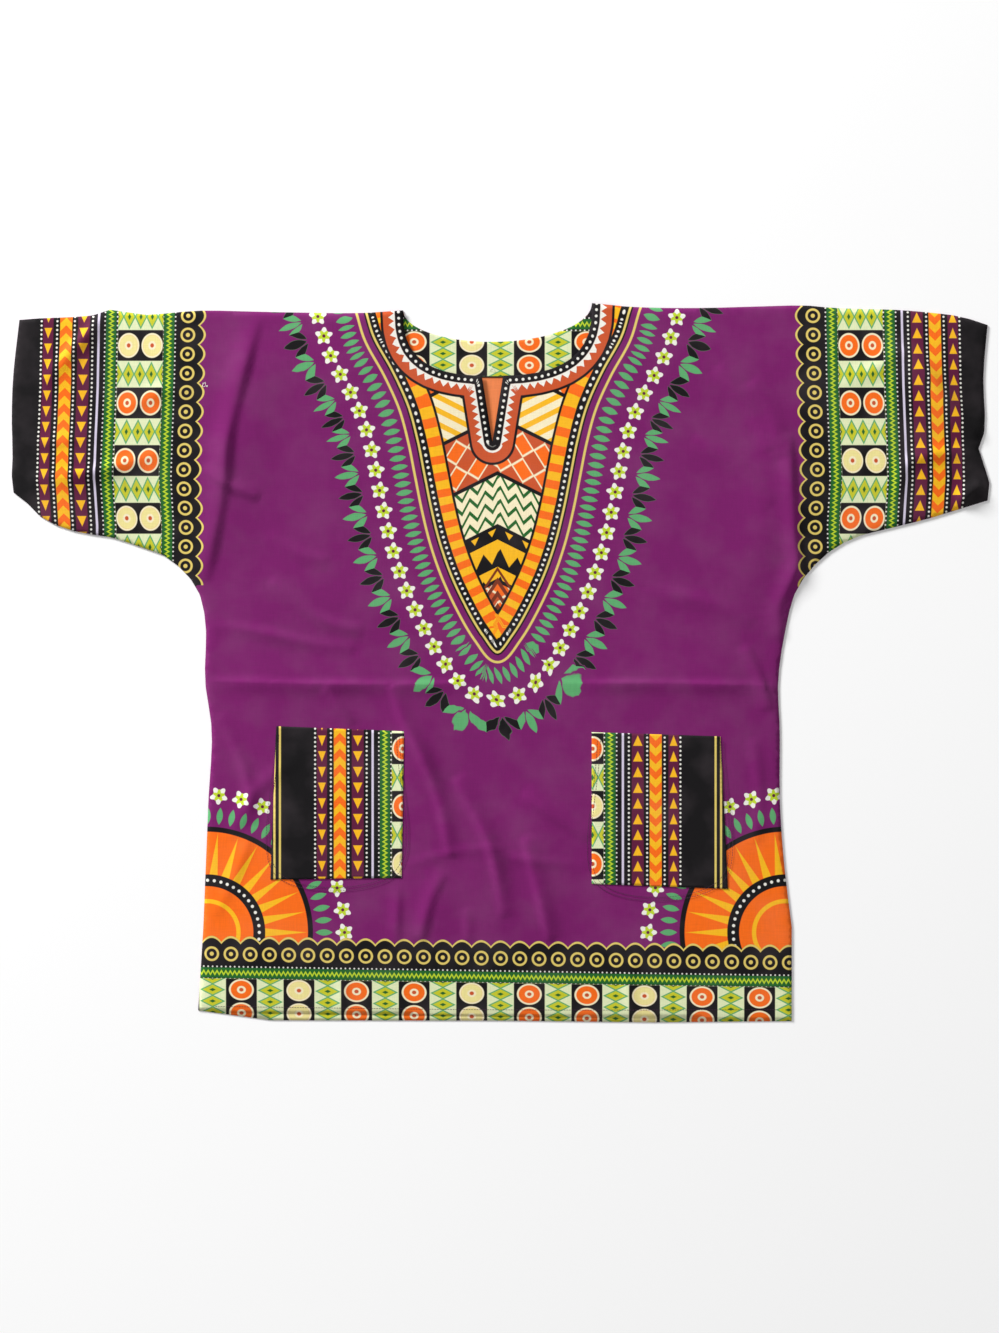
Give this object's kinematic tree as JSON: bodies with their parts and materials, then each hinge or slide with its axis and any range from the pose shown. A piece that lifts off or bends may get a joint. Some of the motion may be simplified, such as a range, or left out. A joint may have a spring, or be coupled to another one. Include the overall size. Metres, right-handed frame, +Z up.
{
  "type": "dashiki shirt",
  "caption": "Loose pull-over shirt with kimono sleeves, a scooped neck with a short slit, printed borders and patch pockets, laid flat.",
  "frame": {"origin": "on the surface, under the middle of the shirt's bounding box", "axes": "+X towards the viewer's right across the chest, +Y towards the shoulders, +Z up out of the cloth"},
  "size_m": [1.1483, 0.8445, 0.009],
  "materials": {
    "printed_cotton": "purple plain-weave cotton with printed borders, matt",
    "border_cotton": "border print of stripes and tiles on black cotton, matt",
    "facing_cotton": "tile border print on cotton, matt"
  },
  "bodies": {
    "root": {"back_panel": "printed_cotton", "back_neck_facing": "facing_cotton", "front_panel": "printed_cotton", "pocket_left": "border_cotton", "pocket_right": "border_cotton"}
  },
  "joints": []
}
